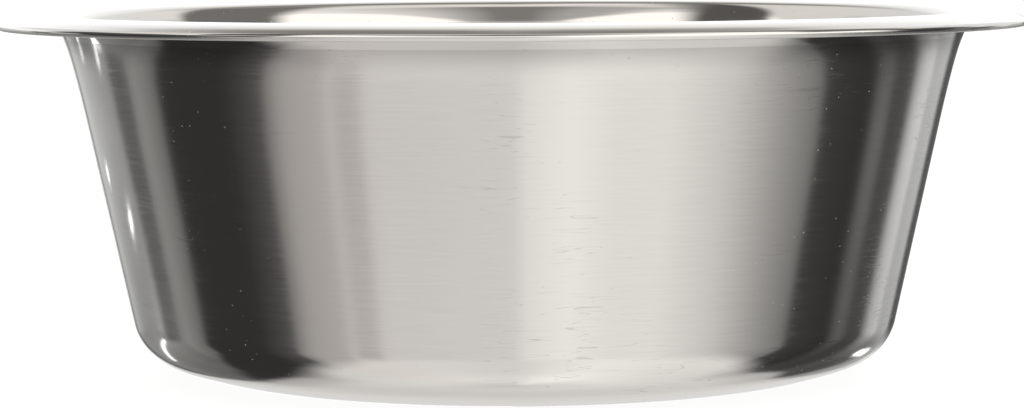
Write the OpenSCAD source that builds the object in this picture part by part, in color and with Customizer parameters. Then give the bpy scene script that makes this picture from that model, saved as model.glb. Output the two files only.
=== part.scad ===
// Stainless steel dog bowl, drawn from one sheet of steel.
// Millimetres, +Z up, origin on the table at the middle of the base.
//
// The bowl is one cross-section turned about its axis. The lower and outer face
// of the sheet is written as corners with a bend radius at each, the way a press
// tool is dimensioned, and the sheet's thickness lies on the food side. The sheet
// is divided square to its faces into the zones that it is formed in.

/* [Overall] */
// Outside diameter over the rolled edge
rim_d = 280; // [240:1:340]
// Height from the table to the crest of the rim
bowl_h = 100; // [80:0.5:140]
// Thickness of the steel sheet
sheet_t = 0.7; // [0.4:0.05:0.9]

/* [Rim] */
// Width of the rim, from its outside in to the wall where flare and crest would meet
rim_w = 16.3; // [14:0.1:24]
// Width of the falling flange, from its outside in to where it would meet the crest
flange_w = 5.7; // [4:0.1:9]
// Fall from the crest to the middle of the rolled edge
rim_fall = 3.2; // [2:0.1:5]
// Bend radius from the wall into the crest, under the sheet
mouth_bend_r = 6.6; // [3:0.2:9]
// Bend radius from the crest into the falling flange, under the sheet
brow_bend_r = 22; // [8:1:40]

/* [Rolled edge] */
// Outside radius of the roll
roll_r = 1; // [0.95:0.05:1.6]
// Length of the hem that runs back under the flange
hem_l = 2.4; // [1:0.1:4]

/* [Wall] */
// How far the wall spreads in its flare
flare_w = 4.7; // [4:0.1:8]
// Height of the flare
flare_h = 16.5; // [12:0.5:24]
// Bend radius of the flare
flare_bend_r = 300; // [100:10:480]
// How far the wall spreads from the corner up to the flare
taper_w = 16.6; // [8:0.2:30]

/* [Base] */
// Width of the sloping heel, from the wall in to the level base, both without bends
heel_w = 20.8; // [14:0.2:26]
// Height where the heel would meet the wall without a bend
heel_h = 7.5; // [5:0.5:12]
// Bend radius from the heel into the wall
corner_bend_r = 15.5; // [8:0.5:18]
// Bend radius from the level base into the heel
heel_bend_r = 74; // [30:1:90]
// Width of the level ring that the bowl stands on, in from the heel without a bend
stand_w = 21.6; // [16:0.2:30]
// Width of the slope from that ring up to the raised panel
panel_slope_w = 4; // [2:0.5:8]
// Height of the raised panel over the table
panel_rise = 0.8; // [0.4:0.1:2]
// Bend radius at both ends of that slope
panel_bend_r = 4; // [2:0.5:8]

/* [Hidden] */

// Fineness of the round faces
TURN_FN = 180;
ARC_FN = 360;
// Colours: brushed inside the pressing, polished on the rim
BRUSHED = [0.74, 0.73, 0.71];
POLISHED = [0.84, 0.84, 0.83];
// How far a cutting shape runs past what it cuts
OVERRUN = 3;
// How far a round stands past its tangent points, so that it always meets the straights
BLEND = 0.002;
// Two neighbouring bends take at most this share of the length between their corners
BEND_SHARE = 0.98;

rim_r = rim_d / 2;
mouth_r = rim_r - rim_w;
flare_r = mouth_r - flare_w;
corner_r = flare_r - taper_w;
heel_r = corner_r - heel_w;
stand_r = heel_r - stand_w;
panel_r = stand_r - panel_slope_w;
crest_z = bowl_h - sheet_t;
brow = [rim_r - flange_w, crest_z];
roll_in_r = roll_r - sheet_t;
roll_at = [rim_r - roll_r, bowl_h - rim_fall];

// The flange leaves the brow along the line that touches the inside of the roll
brow_to_roll = roll_at - brow;
slope_a = atan2(brow_to_roll.y, brow_to_roll.x) + asin(roll_in_r / norm(brow_to_roll));
flange_end = roll_at + roll_in_r * [-sin(slope_a), cos(slope_a)];

// Corners of the lower face from the axis to the rolled edge
corners = [
    [0, panel_rise],
    [panel_r, panel_rise],
    [stand_r, 0],
    [heel_r, 0],
    [corner_r, heel_h],
    [flare_r, crest_z - flare_h],
    [mouth_r, crest_z],
    brow,
    flange_end
];
// Bend radius at each corner on the lower face, none at the two ends
bend_r = [
    0,
    panel_bend_r,
    panel_bend_r,
    heel_bend_r,
    corner_bend_r,
    flare_bend_r,
    mouth_bend_r,
    brow_bend_r,
    0
];
LAST = len(corners) - 1;

// Where the zones meet, from the axis outwards: a run between two corners, and a
// share of the straight part of it
SEAM_SHARES = [[0, 0], [2, 0.9], [4, 0.02], [5, 0.5], [7, 1]];

// Run i is the straight from corner i to corner i + 1
function run_l(i) = norm(corners[i + 1] - corners[i]);
function along(i) = (corners[i + 1] - corners[i]) / run_l(i);
function across(i) = [-along(i).y, along(i).x];

// Turn at corner i, positive where the sheet bends upwards
function turn_a(i) = atan2(along(i - 1).x * along(i).y - along(i - 1).y * along(i).x,
    along(i - 1) * along(i));
function side(i) = sign(turn_a(i));

// Length that the bend at corner i asks of each run beside it, and what it gets
function wish_l(i) = i == 0 || i == LAST ? 0 : bend_r[i] * tan(abs(turn_a(i)) / 2);
function fit_share(i) = min(1, BEND_SHARE * run_l(i) / (wish_l(i) + wish_l(i + 1)));
function bend_l(i) =
    i == 0 || i == LAST ? 0 : wish_l(i) * min(fit_share(i - 1), fit_share(i));
function radius(i) = bend_l(i) / tan(abs(turn_a(i)) / 2);

// Points at height h over the lower face: before and after the bend, and on its mitre
function before(i, h) = corners[i] - bend_l(i) * along(i - 1) + h * across(i - 1);
function after(i, h) = corners[i] + bend_l(i) * along(i) + h * across(i);
function mitre(i, h) =
    corners[i] + h * (across(i - 1) + across(i)) / (1 + across(i - 1) * across(i));
function centre(i) = before(i, side(i) * radius(i));
function seam(at, h) =
    after(at[0], h) + at[1] * (before(at[0] + 1, h) - after(at[0], h));

// Deepest cut of a bend into its corner, which a zone's outline has to clear
deepest_bend = max([for (i = [1:LAST - 1]) radius(i) * (1 - cos(turn_a(i) / 2))]);

// Lens between the chord and the arc of bend i, at height h over the lower face
module lens(i, h) {
    r = radius(i) - side(i) * h + BLEND;
    over_a = 2 * sqrt(2 * BLEND / r) * 180 / PI;
    half_a = abs(turn_a(i)) / 2 + over_a;
    near = r * cos(half_a) * [cos(half_a), sin(half_a)];
    far = 2 * r * [cos(half_a), sin(half_a)];
    to_corner = corners[i] - centre(i);
    translate(centre(i))
        rotate(atan2(to_corner.y, to_corner.x))
            intersection() {
                circle(r, $fn = ARC_FN);
                polygon([near, far, [2 * r, 0], [far.x, -far.y], [near.x, -near.y]]);
            }
}

// Everything over the face that lies h above the lower face, out past the flange
module over_face(h) {
    end = before(LAST, h) + OVERRUN * along(LAST - 1);
    top = bowl_h + OVERRUN;
    difference() {
        union() {
            polygon([
                [0, panel_rise + h],
                for (i = [1:LAST - 1]) each [before(i, h), after(i, h)],
                end,
                [end.x, top],
                [0, top]
            ]);
            for (i = [1:LAST - 1])
                if (side(i) > 0) lens(i, h);
        }
        for (i = [1:LAST - 1])
            if (side(i) < 0) lens(i, h);
    }
}

// Cross-section of zone k, between its two seams
module zone_section(k) {
    from = SEAM_SHARES[k];
    to = SEAM_SHARES[k + 1];
    low = -deepest_bend - sheet_t;
    high = deepest_bend + 2 * sheet_t;
    intersection() {
        difference() {
            over_face(0);
            over_face(sheet_t);
        }
        polygon([
            seam(from, low),
            for (i = [from[0] + 1:to[0]]) mitre(i, low),
            seam(to, low),
            seam(to, high),
            for (i = [to[0]:-1:from[0] + 1]) mitre(i, high),
            seam(from, high)
        ]);
    }
}

// Cross-section of the edge: half a turn round the roll, then the hem
module roll_section() {
    translate(roll_at)
        rotate(slope_a)
            difference() {
                union() {
                    circle(roll_r, $fn = ARC_FN);
                    translate([-hem_l, -roll_r])
                        square([hem_l, 2 * roll_r]);
                }
                circle(roll_in_r, $fn = ARC_FN);
                translate([-hem_l - OVERRUN, -roll_in_r])
                    square([hem_l + OVERRUN, 2 * roll_r]);
            }
}

module turned() {
    rotate_extrude($fn = TURN_FN)
        children();
}

// Middle of the base: a panel, raised a little, in the level ring that the bowl stands on
module base_panel() {
    color(BRUSHED)
        turned()
            zone_section(0);
}

// Rounded corner: the wide bend of the heel, then the tighter one up into the wall
module base_corner() {
    color(BRUSHED)
        turned()
            zone_section(1);
}

// Tapered wall, which flares gently towards the rim
module side_wall() {
    color(BRUSHED)
        turned()
            zone_section(2);
}

// Arched flange: outwards to the crest, then down to the rolled edge
module rim_flange() {
    color(POLISHED)
        turned()
            zone_section(3);
}

// Edge of the sheet, rolled back under the flange
module rolled_edge() {
    color(POLISHED)
        turned()
            roll_section();
}

base_panel();
base_corner();
side_wall();
rim_flange();
rolled_edge();
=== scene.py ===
import math

import bmesh
import bpy
from mathutils import Matrix, Vector


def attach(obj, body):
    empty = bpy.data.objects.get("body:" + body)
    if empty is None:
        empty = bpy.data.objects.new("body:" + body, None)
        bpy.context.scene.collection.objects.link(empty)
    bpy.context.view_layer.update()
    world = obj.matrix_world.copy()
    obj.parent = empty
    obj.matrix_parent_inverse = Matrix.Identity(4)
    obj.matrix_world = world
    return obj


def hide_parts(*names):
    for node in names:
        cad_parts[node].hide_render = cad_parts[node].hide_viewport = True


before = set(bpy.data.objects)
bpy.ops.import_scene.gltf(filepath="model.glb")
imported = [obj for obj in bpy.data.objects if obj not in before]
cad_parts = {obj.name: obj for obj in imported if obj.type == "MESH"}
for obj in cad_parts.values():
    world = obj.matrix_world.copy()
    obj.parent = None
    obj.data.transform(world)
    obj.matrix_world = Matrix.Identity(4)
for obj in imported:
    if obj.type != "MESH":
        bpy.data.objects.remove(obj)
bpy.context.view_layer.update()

# Camera
# A long lens a little above table height, aimed just off the bowl's axis, with the
# small lean that the picture has.
MM = 0.001
LENS = 140.6
SENSOR_W = 36
ELEVATION = math.radians(4.155)
LEAN = math.radians(-0.3)
AIM = Vector((-0.5, 0, 46.9)) * MM
DISTANCE = 1097 * MM

camera_data = bpy.data.cameras.new("camera")
camera_data.lens = LENS
camera_data.sensor_width = SENSOR_W
camera = bpy.data.objects.new("camera", camera_data)
away = Vector((0, -math.cos(ELEVATION), math.sin(ELEVATION)))
facing = (-away).to_track_quat("-Z", "Y").to_matrix() @ Matrix.Rotation(LEAN, 3, "Z")
camera.matrix_world = Matrix.LocRotScale(AIM + DISTANCE * away, facing, None)
bpy.context.scene.collection.objects.link(camera)
bpy.context.scene.camera = camera
bpy.context.scene.view_settings.view_transform = "Standard"


# Base panel
# Middle of one disc of 0.7 mm stainless sheet, pressed up a little so that the bowl
# stands on the level ring around it. The lower face is drawn as a press tool is, with
# straights and bends, then turned about the axis, and the thickness goes inside.
SHEET_T = 0.7 * MM
PANEL_RISE = 0.8 * MM
PANEL_R = 56 * MM
STAND_R = 60 * MM
PANEL_BEND_R = 4 * MM
HEEL_FOOT = (81.6 * MM, 0)
HEEL_BEND_R = 74 * MM
CORNER = (102.4 * MM, 7.5 * MM)
# The panel's piece ends at this share of the level ring.
STAND_SEAM_SHARE = 0.9
# Short straight beside each bend, so that the bend shades cleanly.
LEAD = 0.5 * MM
TURNS = 288
WELD = 0.001 * MM
SHARP_FROM = math.radians(40)


class Press:
    """Draws the lower face of the sheet in the XZ plane, outwards from a point."""

    def __init__(self, start, heading=0.0):
        self.wire = bmesh.new()
        self.start = Vector((start[0], 0, start[1]))
        self.tip = self.wire.verts.new(self.start)
        self.heading = heading

    def run(self, length):
        """A straight, with a lead at each end where there is room."""
        legs = (LEAD, length - 2 * LEAD, LEAD) if length > 3 * LEAD else (length,)
        for leg in legs:
            self.tip = bmesh.ops.extrude_vert_indiv(self.wire, verts=[self.tip])["verts"][0]
            self.tip.co += leg * Vector((math.cos(self.heading), 0, math.sin(self.heading)))

    def bend(self, radius, turn, steps):
        """A bend, upwards where turn is positive."""
        across = Vector((-math.sin(self.heading), 0, math.cos(self.heading)))
        made = bmesh.ops.spin(
            self.wire, geom=[self.tip], axis=(0, -1, 0), angle=turn, steps=steps,
            cent=self.tip.co + math.copysign(radius, turn) * across)
        self.tip = [v for v in made["geom_last"] if isinstance(v, bmesh.types.BMVert)][0]
        self.heading += turn

    def straight_to(self, corner, radius, beyond, share=1.0):
        """Runs towards a corner, to where its bend begins or a share of the way there,
        and returns the turn that the corner makes."""
        here = Vector((self.tip.co.x, self.tip.co.z))
        inward, outward = Vector(corner) - here, Vector(beyond) - Vector(corner)
        turn = math.atan2(outward.y, outward.x) - math.atan2(inward.y, inward.x)
        self.run(share * (inward.length - radius * abs(math.tan(turn / 2))))
        return turn

    def corner(self, corner, radius, beyond, steps):
        """Runs towards a corner and bends round it."""
        self.bend(radius, self.straight_to(corner, radius, beyond), steps)

    def end(self):
        """Place and heading where the drawing stands, for the next piece to begin."""
        return (self.tip.co.x, self.tip.co.z), self.heading


def turned_sheet(name, press, first_heading):
    """Turns a lower face about the bowl's axis and gives it the sheet's thickness."""
    ring = press.wire
    bmesh.ops.spin(
        ring, geom=ring.verts[:] + ring.edges[:], cent=(0, 0, 0), axis=(0, 0, 1),
        angle=math.tau, steps=TURNS, use_merge=True)
    bmesh.ops.remove_doubles(ring, verts=ring.verts, dist=WELD)
    bmesh.ops.recalc_face_normals(ring, faces=ring.faces)
    first = min(ring.faces, key=lambda f: (f.calc_center_median() - press.start).length)
    down = Vector((math.sin(first_heading), 0, -math.cos(first_heading)))
    if first.normal.dot(down) < 0:
        bmesh.ops.reverse_faces(ring, faces=ring.faces)
    bmesh.ops.solidify(ring, geom=ring.faces[:], thickness=SHEET_T)
    for edge in ring.edges:
        edge.smooth = edge.calc_face_angle(0) < SHARP_FROM
    for face in ring.faces:
        face.smooth = True
    mesh = bpy.data.meshes.new(name)
    ring.to_mesh(mesh)
    ring.free()
    piece = bpy.data.objects.new(name, mesh)
    bpy.context.scene.collection.objects.link(piece)
    return piece


def put(tree, kind, inputs=(), **settings):
    """Adds a node to a tree, with its settings and what goes into its sockets."""
    node = tree.nodes.new("ShaderNode" + kind)
    for name, value in settings.items():
        setattr(node, name, value)
    for socket, value in dict(inputs).items():
        if isinstance(value, bpy.types.NodeSocket):
            tree.links.new(value, node.inputs[socket])
        else:
            node.inputs[socket].default_value = value
    return node


def maths(tree, operation, *values):
    return put(tree, "Math", enumerate(values), operation=operation).outputs[0]


def times(tree, product, *factors):
    """Product of any number of values."""
    for factor in factors:
        product = maths(tree, "MULTIPLY", product, factor)
    return product


def between(tree, value, low, high, from_level=0.0, to_level=1.0):
    """Goes smoothly from one level to another while a value goes from low to high."""
    return put(tree, "MapRange", {
        "Value": value, "From Min": low, "From Max": high, "To Min": from_level,
        "To Max": to_level}, interpolation_type="SMOOTHSTEP").outputs[0]


def blend(tree, share, a, b, **settings):
    """Goes from one colour to another as a share grows. A plain number is a grey."""
    sockets = {"Factor": share}
    for name, value in (("A", a), ("B", b)):
        sockets[name] = (value, value, value, 1) if isinstance(value, (int, float)) else value
    return put(tree, "Mix", sockets, data_type="RGBA", **settings).outputs["Result"]


def start_group(name, inputs, outputs):
    """Starts a node group, where an input with no value of its own is a vector."""
    tree = bpy.data.node_groups.new(name, "ShaderNodeTree")
    for label, value in inputs:
        kind = "NodeSocketVector" if value is None else "NodeSocketFloat"
        socket = tree.interface.new_socket(name=label, in_out="INPUT", socket_type=kind)
        if value is not None:
            socket.default_value = value
    for label in outputs:
        tree.interface.new_socket(name=label, in_out="OUTPUT", socket_type="NodeSocketFloat")
    given = tree.nodes.new("NodeGroupInput").outputs
    return tree, given, tree.nodes.new("NodeGroupOutput").inputs


def lay_round(tree, place):
    """Place across the bowl, direction round its axis, and the way out along the sheet."""
    x, y, z = put(tree, "SeparateXYZ", {0: place}).outputs
    flat = put(tree, "CombineXYZ", {0: x, 1: y}).outputs[0]
    radius = put(tree, "VectorMath", {0: flat}, operation="LENGTH").outputs["Value"]
    direction = put(tree, "VectorMath", {0: flat}, operation="NORMALIZE").outputs[0]
    return x, y, direction, maths(tree, "ADD", radius, z)


def lines_round(tree, direction, outward, per_turn, per_metre, detail=2.0):
    """Noise drawn out round the bowl, as the lines of spinning and polishing are."""
    drawn = put(tree, "VectorMath", {0: direction, "Scale": per_turn}, operation="SCALE")
    x, y, _ = put(tree, "SeparateXYZ", {0: drawn.outputs[0]}).outputs
    spot = put(tree, "CombineXYZ", {0: x, 1: y, 2: times(tree, outward, per_metre)})
    return put(tree, "TexNoise", {
        "Vector": spot.outputs[0], "Scale": 1.0, "Detail": detail, "Roughness": 0.6}).outputs[0]


# Polishing lines: fine ones, and broader zones where the mop pressed harder.
FINE_SHARE = 0.7
polish, given, gives = start_group(
    "polishing_lines", [("Place", None), ("Fineness", 1.0)], ["Lines", "Height"])
_, _, direction, outward = lay_round(polish, given["Place"])
outward = times(polish, outward, given["Fineness"])
fine = lines_round(polish, direction, outward, per_turn=9.0, per_metre=3600.0)
broad = lines_round(polish, direction, outward, per_turn=3.0, per_metre=420.0)
height = maths(
    polish, "ADD", times(polish, fine, FINE_SHARE), times(polish, broad, 1 - FINE_SHARE))
polish.links.new(fine, gives["Lines"])
polish.links.new(height, gives["Height"])

# Wear: clusters of fine scratches that run round the bowl. A scratch lies where its
# noise passes its middle, and other noise breaks it up.
wear, given, gives = start_group(
    "wear", [("Place", None), ("Amount", 1.0)], ["Scratches", "Specks"])
x, y, direction, outward = lay_round(wear, given["Place"])
paths = lines_round(wear, direction, outward, per_turn=6.0, per_metre=560.0, detail=1.0)
off_path = maths(wear, "ABSOLUTE", maths(wear, "SUBTRACT", paths, 0.5))
breaks = lines_round(wear, direction, outward, per_turn=11.0, per_metre=800.0, detail=1.0)
clusters = put(wear, "TexNoise", {
    "Vector": given["Place"], "Scale": 30.0, "Detail": 1.0, "Roughness": 0.5}).outputs[0]
scratches = times(
    wear, between(wear, off_path, 0.016, 0.004), between(wear, breaks, 0.46, 0.58),
    between(wear, clusters, 0.5, 0.64), given["Amount"])
wear.links.new(scratches, gives["Scratches"])

# Tiny dents and specks, in groups: one to a cell, and most cells have none.
# Radius at which the bowl is unrolled for them, and their sizes as shares of a cell.
UNROLLED_R = 130 * MM
CELLS_PER_METRE = 230.0
SMALLEST_SPECK = 0.018
SPECK_SPREAD = 0.04
around = maths(wear, "ARCTAN2", x, times(wear, y, -1.0))
laid_flat = put(wear, "CombineXYZ", {0: times(wear, around, UNROLLED_R), 1: outward})
cells = put(wear, "TexVoronoi", {
    "Vector": laid_flat.outputs[0], "Scale": CELLS_PER_METRE}, voronoi_dimensions="2D")
chosen, size, depth = put(wear, "SeparateXYZ", {0: cells.outputs["Color"]}).outputs
size = maths(wear, "ADD", times(wear, size, SPECK_SPREAD), SMALLEST_SPECK)
groups = put(wear, "TexNoise", {"Vector": given["Place"], "Scale": 50.0, "Detail": 1.0})
rarity = between(wear, groups.outputs[0], 0.44, 0.62, 0.95, 0.5)
specks = times(
    wear, between(wear, cells.outputs["Distance"], size, 0.0),
    maths(wear, "GREATER_THAN", chosen, rarity), depth, given["Amount"])
wear.links.new(specks, gives["Specks"])

# How far the polishing lines lighten and darken the steel, and what a scratch does.
LINE_SHADE = 0.05
SCORED_SHADE = 0.82
SCORED_ROUGHNESS = 0.12
# How high the sheet's waves and a speck stand, and how deep a scratch is.
WAVE_H = 0.05 * MM
SCRATCH_H = 0.004 * MM
SPECK_H = 0.14 * MM
WAVES_PER_METRE = 26.0


def shaded(colour, level):
    return (*(min(1, level * c) for c in colour), 1)


def steel(name, colour, smoothest, roughest, anisotropy, grain, fineness, wear_amount):
    """Stainless steel: polished round the axis, so that its gloss is drawn out across
    the polishing lines, with a slight waviness from the press."""
    material = bpy.data.materials.new(name)
    material.use_nodes = True
    tree = material.node_tree
    shader = tree.nodes["Principled BSDF"]
    shader.inputs["Metallic"].default_value = 1
    shader.inputs["Anisotropic"].default_value = anisotropy
    place = put(tree, "TexCoord").outputs["Object"]
    lines = put(tree, "Group", {"Place": place, "Fineness": fineness}, node_tree=polish)
    marks = put(tree, "Group", {"Place": place, "Amount": wear_amount}, node_tree=wear)

    rough = put(tree, "MapRange", {
        "Value": lines.outputs["Height"], "From Min": 0.3, "From Max": 0.7,
        "To Min": smoothest, "To Max": roughest}).outputs[0]
    rough = maths(
        tree, "ADD", rough, times(tree, marks.outputs["Scratches"], SCORED_ROUGHNESS))
    tree.links.new(rough, shader.inputs["Roughness"])
    lined = blend(
        tree, lines.outputs["Lines"], shaded(colour, 1 - LINE_SHADE), shaded(colour, 1 + LINE_SHADE))
    scored = blend(tree, marks.outputs["Scratches"], lined, shaded(colour, SCORED_SHADE))
    tree.links.new(scored, shader.inputs["Base Color"])

    waves = put(tree, "TexNoise", {"Vector": place, "Scale": WAVES_PER_METRE, "Detail": 1.0})
    unscored = maths(tree, "SUBTRACT", 1.0, marks.outputs["Scratches"])
    normal = put(tree, "Bump", {"Distance": WAVE_H, "Height": waves.outputs[0]}).outputs[0]
    for rise, relief in (
            (grain, lines.outputs["Height"]), (SCRATCH_H, unscored),
            (SPECK_H, marks.outputs["Specks"])):
        normal = put(tree, "Bump", {
            "Distance": rise, "Height": relief, "Normal": normal}).outputs[0]
    tree.links.new(normal, shader.inputs["Normal"])

    surface = put(tree, "NewGeometry").outputs["Normal"]
    round_axis = put(
        tree, "VectorMath", {0: (0, 0, 1), 1: place}, operation="CROSS_PRODUCT").outputs[0]
    across = put(
        tree, "VectorMath", {0: round_axis, 1: surface}, operation="CROSS_PRODUCT").outputs[0]
    tangent = put(tree, "VectorMath", {0: across}, operation="NORMALIZE").outputs[0]
    tree.links.new(tangent, shader.inputs["Tangent"])
    return material


BRUSHED = {
    "colour": (0.66, 0.652, 0.642), "smoothest": 0.10, "roughest": 0.19, "anisotropy": 0.78,
    "grain": 0.0012 * MM, "fineness": 1.0, "wear_amount": 1.0}

press = Press((0, PANEL_RISE))
press.corner((PANEL_R, PANEL_RISE), PANEL_BEND_R, (STAND_R, 0), steps=5)
press.corner((STAND_R, 0), PANEL_BEND_R, HEEL_FOOT, steps=5)
press.straight_to(HEEL_FOOT, HEEL_BEND_R, CORNER, STAND_SEAM_SHARE)
seam, heading = press.end()
base_panel = turned_sheet("base_panel_sheet", press, 0)
base_panel.data.materials.append(steel("brushed_steel", **BRUSHED))
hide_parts("base_panel")
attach(base_panel, "root")


# Base corner
# The same sheet, where the drawing punch leaves a wide bend at the heel and a tighter
# one up into the wall. The bends are a little shinier than the wall and the base.
CORNER_BEND_R = 15.5 * MM
WALL_AIM = (119 * MM, 82.8 * MM)
CORNER_TO_SEAM = 1.5 * MM

press = Press(seam, heading)
begun = heading
press.corner(HEEL_FOOT, HEEL_BEND_R, CORNER, steps=12)
press.corner(CORNER, CORNER_BEND_R, WALL_AIM, steps=26)
press.run(CORNER_TO_SEAM)
seam, heading = press.end()
base_corner = turned_sheet("base_corner_sheet", press, begun)
corner_steel = steel("corner_steel", **(BRUSHED | {
    "smoothest": 0.08, "roughest": 0.14, "anisotropy": 0.6, "grain": 0.0008 * MM}))
base_corner.data.materials.append(corner_steel)
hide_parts("base_corner")
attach(base_corner, "root")


# Side wall
# The same sheet, drawn into a tapered wall that flares more and more towards the rim.
# It is polished on a lathe, so the lines run round it, and just under the rim its
# colour is darkened with painted shade from the rim. Each bend is a radius, and how far
# from upright the sheet leans at its end.
WALL_BENDS = ((400 * MM, 14.5), (110 * MM, 17.4), (36 * MM, 23.3))
MOUTH_BENDS = ((18 * MM, 31.0), (7.3 * MM, 90.0))
SEAM_RUN = 0.3 * MM
# Lower face of the sheet at the crest, a hair under the real one.
CREST_Z = 99.298 * MM


def turns(heading, bends):
    """Radius, turn and height gained for each of a row of bends."""
    for radius, lean in bends:
        after = math.radians(90 - lean)
        yield radius, after - heading, radius * (math.cos(after) - math.cos(heading))
        heading = after


def paint_rim_shade(material, low, high, share):
    """Paints shade from the rim into the colour of the outside, which leans down a little:
    darker more and more from one height up to another, and as much above."""
    tree = material.node_tree
    colour = tree.nodes["Principled BSDF"].inputs["Base Color"]
    z = put(tree, "SeparateXYZ", {0: put(tree, "TexCoord").outputs["Object"]}).outputs[2]
    lean = put(tree, "SeparateXYZ", {0: put(tree, "NewGeometry").outputs["Normal"]}).outputs[2]
    rim_shade = times(tree, between(tree, lean, 0.0, -0.1), between(tree, z, low, high), share)
    # Painted shade: the base colour is blended towards black under the rim.
    tree.links.new(blend(tree, rim_shade, colour.links[0].from_socket, 0), colour)


press = Press(seam, heading)
begun = heading
gained = sum(height for _, _, height in turns(heading, WALL_BENDS + MOUTH_BENDS))
gained += 2 * SEAM_RUN * math.cos(math.radians(WALL_BENDS[-1][1]))
press.run((CREST_Z - gained - seam[1]) / math.sin(heading))
for radius, turn, _ in turns(heading, WALL_BENDS):
    press.bend(radius, turn, steps=6)
press.run(SEAM_RUN)
seam, heading = press.end()
side_wall = turned_sheet("side_wall_sheet", press, begun)
wall_steel = steel("wall_steel", **BRUSHED)
# Painted shade: the outside of the wall is darkened towards the rim, as in the rim's shadow.
paint_rim_shade(wall_steel, low=86.5 * MM, high=94.5 * MM, share=0.36)
side_wall.data.materials.append(wall_steel)
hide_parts("side_wall")
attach(side_wall, "root")


# Rim flange
# The same sheet, turned outwards from the wall to the crest of the rim, from where it
# falls to the rolled edge. It is polished brighter than the wall. The rim stands a
# hair inside the real 280 mm, so that nothing passes the frame's box.
RIM_R = 139.995 * MM
BROW = (134.3 * MM, CREST_Z)
BROW_BEND_R = 18.5 * MM
ROLL_R = 1 * MM
RIM_FALL = 3.2 * MM
STEPS_PER_RADIAN = 30
POLISHED = {
    "colour": (0.68, 0.673, 0.663), "smoothest": 0.05, "roughest": 0.1, "anisotropy": 0.5,
    "grain": 0.0005 * MM, "fineness": 1.4, "wear_amount": 0.4}
roll_at = Vector((RIM_R - ROLL_R, CREST_Z + SHEET_T - RIM_FALL))
to_roll = roll_at - Vector(BROW)
roll_in_r = ROLL_R - SHEET_T
slope = math.atan2(to_roll.y, to_roll.x) + math.asin(roll_in_r / to_roll.length)
flange_end = roll_at + roll_in_r * Vector((-math.sin(slope), math.cos(slope)))

press = Press(seam, heading)
begun = heading
press.run(SEAM_RUN)
for radius, turn, _ in turns(heading, MOUTH_BENDS):
    press.bend(radius, turn, steps=max(4, round(STEPS_PER_RADIAN * abs(turn))))
press.corner(BROW, BROW_BEND_R, tuple(flange_end), steps=16)
press.run((flange_end - Vector(press.end()[0])).length)
seam, heading = press.end()
rim_flange = turned_sheet("rim_flange_sheet", press, begun)
polished_steel = steel("polished_steel", **POLISHED)
# Painted shade: the downward-facing outside below the crest is darkened, as in the rim's shadow.
paint_rim_shade(polished_steel, low=90 * MM, high=93 * MM, share=0.22)
rim_flange.data.materials.append(polished_steel)
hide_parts("rim_flange")
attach(rim_flange, "root")


# Rolled edge
# The cut edge of the same sheet is rolled under, so that the rim is blunt and stiff,
# and ends in a short hem against the underside of the flange. The polish fades on its
# underside, where the mop doesn't reach.
HEM_L = 2.4 * MM
POLISH_FADE_H = 0.5 * MM
SATIN_ROUGHNESS = 0.35

press = Press(seam, heading)
begun = heading
press.bend(roll_in_r, -math.pi, steps=24)
press.run(HEM_L)
rolled_edge = turned_sheet("rolled_edge_sheet", press, begun)
rolled_steel = steel("rolled_steel", **(POLISHED | {"anisotropy": 0.3}))
tree = rolled_steel.node_tree
rough = tree.nodes["Principled BSDF"].inputs["Roughness"]
z = put(tree, "SeparateXYZ", {0: put(tree, "TexCoord").outputs["Object"]}).outputs[2]
satin = between(tree, z, roll_at.y, roll_at.y - POLISH_FADE_H, 0.0, SATIN_ROUGHNESS)
tree.links.new(maths(tree, "ADD", rough.links[0].from_socket, satin), rough)
rolled_edge.data.materials.append(rolled_steel)
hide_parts("rolled_edge")
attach(rolled_edge, "root")


# Floor
# Pale table top, which takes the bowl's soft shadow. A glow that only the camera sees
# makes it white, and the steel doesn't mirror it.
FLOOR_HALF = 4
FLOOR_Z = -0.2 * MM
FLOOR_COLOUR = (0.22, 0.22, 0.22, 1)
FLOOR_GLOW = 0.89

floor_mesh = bpy.data.meshes.new("floor")
top = bmesh.new()
bmesh.ops.create_grid(top, x_segments=1, y_segments=1, size=FLOOR_HALF)
top.to_mesh(floor_mesh)
top.free()
floor = bpy.data.objects.new("floor", floor_mesh)
bpy.context.scene.collection.objects.link(floor)
floor.location.z = FLOOR_Z
floor.visible_glossy = False
pale = bpy.data.materials.new("pale_floor")
pale.use_nodes = True
tree = pale.node_tree
tree.nodes.remove(tree.nodes["Principled BSDF"])
matt = put(tree, "BsdfDiffuse", {"Color": FLOOR_COLOUR})
lift = times(tree, put(tree, "LightPath").outputs["Is Camera Ray"], FLOOR_GLOW)
glow = put(tree, "Emission", {"Strength": lift})
both = put(tree, "AddShader", {0: matt.outputs[0], 1: glow.outputs[0]})
tree.links.new(both.outputs[0], tree.nodes["Material Output"].inputs["Surface"])
floor_mesh.materials.append(pale)


# Studio
# White to the camera. The steel mirrors a room of soft cards and black flags round the
# bowl, a pale table close to it, and a bright ceiling with a dark card and two dark
# arches. The room depends on the direction alone, and small lamps stand in it.
world = bpy.data.worlds.new("studio")
bpy.context.scene.world = world
world.use_nodes = True
sky = world.node_tree
sky.nodes.clear()


def ramp(tree, value, low, high, stops):
    """Level for a value, from stops along a scale of low to high."""
    share = maths(tree, "DIVIDE", maths(tree, "SUBTRACT", value, low), high - low)
    node = put(tree, "ValToRGB", {0: share})
    marks = node.color_ramp.elements
    marks.remove(marks[1])
    for i, (at, level) in enumerate(stops):
        position = (at - low) / (high - low)
        mark = marks[0] if i == 0 else marks.new(position)
        mark.position = position
        mark.color = (*level, 1) if isinstance(level, tuple) else (level, level, level, 1)
    return node.outputs[0]


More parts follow.
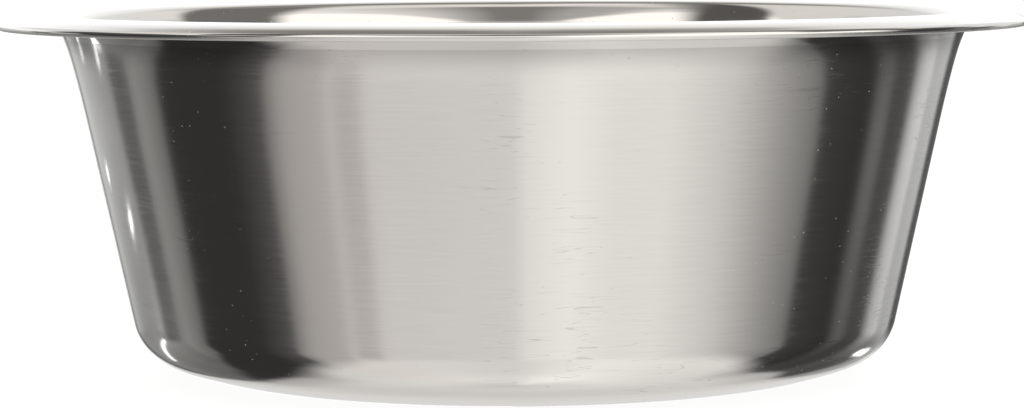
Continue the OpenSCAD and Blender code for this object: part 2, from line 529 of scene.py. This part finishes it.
# Directions in degrees: around from the front, positive to the right, aside the same
# without its sign, rise above level, and depth below it.
way = put(sky, "TexCoord").outputs["Generated"]
x, y, z = put(sky, "SeparateXYZ", {0: way}).outputs
around = maths(sky, "DEGREES", maths(sky, "ARCTAN2", x, times(sky, y, -1.0)))
aside = maths(sky, "ABSOLUTE", around)
rise = maths(sky, "DEGREES", maths(sky, "ARCSINE", z))
depth = times(sky, rise, -1.0)
to_right = maths(sky, "GREATER_THAN", around, 0.0)

# Cards and flags at the height of the bowl, in front of it and to its sides.
front_left = ramp(sky, aside, 0, 180, [
    (0, 0.89), (40.5, 0.81), (43.5, 0.6), (48, 0.58), (51.5, 0.72), (54, 0.57), (65, 0.49),
    (70, 0.3), (72, 0.1), (84, 0.04)])
front_right = ramp(sky, aside, 0, 180, [
    (0, 0.91), (4, 1.09), (16, 1.21), (28, 1.06), (44, 1.06), (60, 0.82), (80, 0.41),
    (90, 0.25), (92, 0.06), (108, 0.04), (116, 0.06)])

# What lies behind them: dimmer lower down, apart from the white backdrop straight behind.
behind_left = ramp(sky, aside, 0, 180, [
    (107.5, 0.0), (110, 0.18), (118, 0.3), (122.5, 0.25), (128, 0.28), (134, 0.31),
    (150, 0.27), (159, 0.29), (161.5, 0.12), (164.5, 0.1), (166.5, 0.9), (170, 1.15),
    (174, 1.3), (180, 1.35)])
behind_right = ramp(sky, aside, 0, 180, [
    (110, 0.0), (113, 0.2), (117, 0.22), (121, 0.03), (129, 0.05), (132, 0.46), (135, 0.72),
    (141, 0.8), (143.5, 0.5), (154, 0.5), (157, 0.32), (164, 0.42), (168, 1.0), (172, 1.3),
    (180, 1.4)])

# At the left, a dim gap between two cards, and the depth of the cards' soft lower edge.
gap = times(
    sky, between(sky, aside, 119, 124), between(sky, aside, 134, 129),
    between(sky, depth, 20, 15))
card_foot = times(sky, ramp(sky, aside, 0, 180, [(108, 28.5 / 90), (129, 42 / 90)]), 90.0)
FOOT_SOFTNESS = 3.0
foot_from = maths(sky, "SUBTRACT", card_foot, FOOT_SOFTNESS)
foot_to = maths(sky, "ADD", card_foot, FOOT_SOFTNESS)
low_left = times(
    sky, ramp(sky, depth, 0, 90, [
        (6, 2.4), (9, 1.8), (12, 1.0), (20, 0.98), (26, 0.78), (34, 0.52), (42, 0.4)]),
    between(sky, gap, 0, 1, 1.0, 0.35),
    between(sky, depth, foot_from, foot_to, 1.0, 0.0))
low_right = ramp(sky, depth, 0, 90, [
    (8, 1.1), (14, 0.78), (18, 0.42), (22, 0.25), (26, 0.15), (34, 0.06)])
backdrop_right = blend(
    sky, between(sky, aside, 169, 174), between(sky, depth, 9, 14, 0.1, 1.0), 1.0)

# The left and the right half, each from what is in front and what lies behind.
BACKDROP_FADE = 5
sides = []
for front, back, low, backdrop, begins in (
        (front_left, behind_left, low_left, 1.0, 163),
        (front_right, behind_right, low_right, backdrop_right, 153)):
    low = blend(sky, between(sky, aside, begins, begins + BACKDROP_FADE), low, backdrop)
    sides.append(maths(sky, "ADD", front, times(sky, back, low)))
room = blend(sky, to_right, *sides)

# The pale table: its level round the bowl and downwards, and the depth at which it
# ends, as a share of straight down.
table_round = ramp(sky, around, -180, 180, [
    (-180, 0.88), (-150, 0.86), (-110, 0.93), (-60, 0.97), (-30, 1.02), (0, 0.98),
    (15, 1.16), (30, 1.26), (45, 1.2), (70, 1.1), (100, 1.02), (140, 0.95), (180, 0.88)])
table_down = ramp(sky, depth, 0, 90, [
    (58, 0.96), (66, 1.0), (76, 1.06), (82, 1.0), (90, 0.9)])
edge_left = ramp(sky, aside, 0, 180, [
    (0, 0.38), (48, 0.39), (60, 0.47), (72, 0.51), (84, 0.56), (92, 0.595), (102, 0.615),
    (114, 0.615), (126, 0.59), (138, 0.55), (150, 0.485), (157, 0.42), (162, 0.32),
    (168, 0.15)])
edge_right = ramp(sky, aside, 0, 180, [
    (0, 0.38), (68, 0.38), (80, 0.42), (90, 0.48), (102, 0.52), (114, 0.56), (121, 0.565),
    (127, 0.54), (138, 0.485), (152, 0.455), (157, 0.41), (161, 0.375), (165, 0.27),
    (169, 0.12)])
edge = times(sky, blend(sky, to_right, edge_left, edge_right), 90.0)
softness = times(sky, ramp(sky, aside, 0, 180, [
    (0, 0.5), (50, 0.6), (62, 1.0), (76, 0.8), (90, 0.75), (102, 0.6), (114, 0.4),
    (124, 0.2)]), 10.0)
table_share = between(
    sky, depth, maths(sky, "SUBTRACT", edge, softness), maths(sky, "ADD", edge, softness))

# Behind the bowl the table is dimmer near its edge than further in.
INWARD = 14.0
near_edge = ramp(sky, aside, 0, 180, [
    (88, 1.0), (110, 0.62), (150, 0.7), (164, 0.95), (180, 0.9)])
table_out = between(sky, depth, edge, maths(sky, "ADD", edge, INWARD), near_edge, 1.0)
table = times(sky, table_round, table_down, table_out)
around_bowl = blend(sky, table_share, room, table)

# Overhead: bright to the front and the sides. At the back it darkens with height, and
# brightens again higher still.
front_low = ramp(sky, rise, -90, 90, [(4, 0.5), (14, 0.6), (24, 1.2), (30, 1.48)])
front_above = blend(sky, between(sky, around, 4, 14), front_low, 1.48)
side_left = ramp(sky, rise, -90, 90, [(14, 1.3), (22, 0.92)])
side_above = blend(sky, to_right, side_left, 1.0)
above = blend(sky, between(sky, aside, 86, 92), front_above, side_above)
slant = blend(sky, to_right, 0.65, 0.3)
back_rise = maths(
    sky, "ADD", rise, times(sky, maths(sky, "SUBTRACT", 180.0, aside), slant))
back_above = ramp(sky, back_rise, 0, 180, [
    (0, 1.3), (10, 1.45), (20, 1.4), (28, 1.25), (36, 1.14), (42, 0.97), (45, 0.7),
    (49, 0.5), (52, 0.29), (60, 0.3), (66, 0.7), (74, 1.1)])
above = blend(sky, between(sky, aside, 154, 164), above, back_above)

# A dark card that hangs in the middle of the ceiling, with the same edge to each side.
CARD_EDGE = (-0.789, 0.316, 0.527)
sideways = maths(sky, "ABSOLUTE", x)
folded = put(sky, "CombineXYZ", {0: sideways, 1: y, 2: z}).outputs[0]
past_edge = put(
    sky, "VectorMath", {0: folded, 1: CARD_EDGE}, operation="DOT_PRODUCT").outputs["Value"]
card = times(
    sky, between(sky, past_edge, -0.03, 0.03), between(sky, rise, 41, 46),
    between(sky, y, 0.26, 0.04))
card_left = ramp(sky, sideways, 0, 1, [
    (0.06, 0.27), (0.18, 0.5), (0.3, 0.56), (0.36, 0.75), (0.43, 1.05)])
card_right = ramp(sky, sideways, 0, 1, [
    (0.06, 0.27), (0.2, 0.62), (0.26, 0.78), (0.4, 1.0), (0.5, 1.15)])
card_level = blend(sky, between(sky, x, -0.05, 0.05), card_left, card_right)
above = blend(sky, card, above, card_level)


def past(axis, low, high):
    """Share that grows from one angle from an axis to another."""
    level = put(
        sky, "VectorMath", {0: way, 1: axis}, operation="DOT_PRODUCT").outputs["Value"]
    return between(sky, maths(sky, "DEGREES", maths(sky, "ARCCOSINE", level)), low, high)


def arch(seen, outside, inside, rises, ends, half, level):
    """Hangs a dark arch, which lies outside one cone about an axis and inside another."""
    share = times(
        sky, past(*outside), past(*inside), between(sky, rise, *rises),
        between(sky, aside, *ends), half)
    return blend(sky, share, seen, level)


# Two dark arches over the bowl, and the black flags low at both sides.
above = arch(
    above, outside=((0.547, 0.824, -0.144), 50.5, 54.5),
    inside=((0.721, 0.683, -0.118), 73, 66), rises=(28, 34), ends=(170, 152),
    half=to_right, level=0.22)
above = arch(
    above, outside=((-0.704, 0.692, -0.162), 64.5, 68),
    inside=((-0.889, 0.458, -0.021), 73, 65), rises=(34, 39), ends=(172, 162),
    half=between(sky, around, 10, -10), level=0.12)
flags = ramp(sky, around, -180, 180, [
    (-126, 0), (-118, 1), (-57, 1), (-52, 0), (90, 0), (95, 1), (118, 1), (124, 0)])
above = blend(sky, times(sky, flags, between(sky, rise, 36, 26)), above, 0.1)
mirrored = blend(sky, between(sky, rise, 1, 5), around_bowl, above)


def strip_lamp(seen, start, end, half_width, level):
    """Adds a small bright strip between two directions, in degrees round and up."""
    spot = put(sky, "CombineXYZ", {0: around, 1: rise}).outputs[0]
    run = Vector((end[0] - start[0], end[1] - start[1], 0))
    offset = put(
        sky, "VectorMath", {0: spot, 1: (*start, 0)}, operation="SUBTRACT").outputs[0]
    along = put(
        sky, "VectorMath", {0: offset, 1: run / run.length_squared}, operation="DOT_PRODUCT")
    share = put(sky, "Clamp", {0: along.outputs["Value"]}).outputs[0]
    foot = put(
        sky, "VectorMath", {0: tuple(run), "Scale": share}, operation="SCALE").outputs[0]
    off = put(
        sky, "VectorMath", {0: offset, 1: foot}, operation="DISTANCE").outputs["Value"]
    return blend(sky, between(sky, off, 1.3 * half_width, 0.7 * half_width), seen, level)


mirrored = strip_lamp(mirrored, (-136, -17), (-153, -23.5), half_width=1.0, level=2.2)
mirrored = strip_lamp(mirrored, (149, -23.5), (155, -20.5), half_width=1.6, level=2.8)

# Slightly warm light, with a redder card at the left. Low behind the bowl and high up
# it has a tint of its own.
LOW_TINT = (1.02, 1, 0.963, 1)
HIGH_TINT = (1.05, 1, 0.95, 1)
tint = ramp(sky, around, -180, 180, [
    (-134, (1.0, 1, 0.99)), (-110, (1.02, 1, 0.955)), (-74, (1.02, 1, 0.96)),
    (-66, (1.06, 1, 0.96)), (-42, (1.055, 1, 0.96)), (-30, (1.025, 1, 0.963)),
    (110, (1.02, 1, 0.955)), (134, (1.0, 1, 0.99))])
low_behind = times(sky, between(sky, depth, 16, 26), between(sky, aside, 90, 120))
tint = blend(sky, low_behind, tint, LOW_TINT)
tint = blend(sky, between(sky, rise, 26, 44), tint, HIGH_TINT)
mirrored = blend(sky, 1.0, mirrored, tint, blend_type="MULTIPLY")

# Level of the room for rays that the steel doesn't mirror.
FILL_LEVEL = 0.8
ray = put(sky, "LightPath").outputs
shown = blend(sky, ray["Is Glossy Ray"], FILL_LEVEL, mirrored)
shown = blend(sky, ray["Is Camera Ray"], shown, 1.0)
background = put(sky, "Background", {"Color": shown})
put(sky, "OutputWorld", {"Surface": background.outputs[0]})


def hang(name, light, place):
    lamp = bpy.data.objects.new(name, light)
    lamp.location = place
    bpy.context.scene.collection.objects.link(lamp)
    return lamp


# Four small lamps close to the bowl at the left: two show low in the wall as short
# streaks, and two as spots where it flares. Each is its place and radius in
# millimetres, and its watts.
for place, radius, watts in (
        ((-177.5, 89.6, 36.3), 1.6, 0.0007), ((-190, 57.1, 17), 1.3, 0.0017),
        ((-144.1, 6.6, 79.7), 1.2, 0.00008), ((-147.1, -12.6, 75.7), 1.2, 0.00015)):
    bulb = bpy.data.lights.new("bulb", "POINT")
    bulb.shadow_soft_size = radius * MM
    bulb.energy = watts
    hang("bulb", bulb, Vector(place) * MM)

# The soft light from above, which gives the bowl its shadow. The steel doesn't mirror it.
SOFTBOX_W = 800 * MM
SOFTBOX_WATTS = 5
SOFTBOX_AT = Vector((0, -200, 1200)) * MM
softbox = bpy.data.lights.new("softbox", "AREA")
softbox.shape = "DISK"
softbox.size = SOFTBOX_W
softbox.energy = SOFTBOX_WATTS
hang("softbox", softbox, SOFTBOX_AT).visible_glossy = False
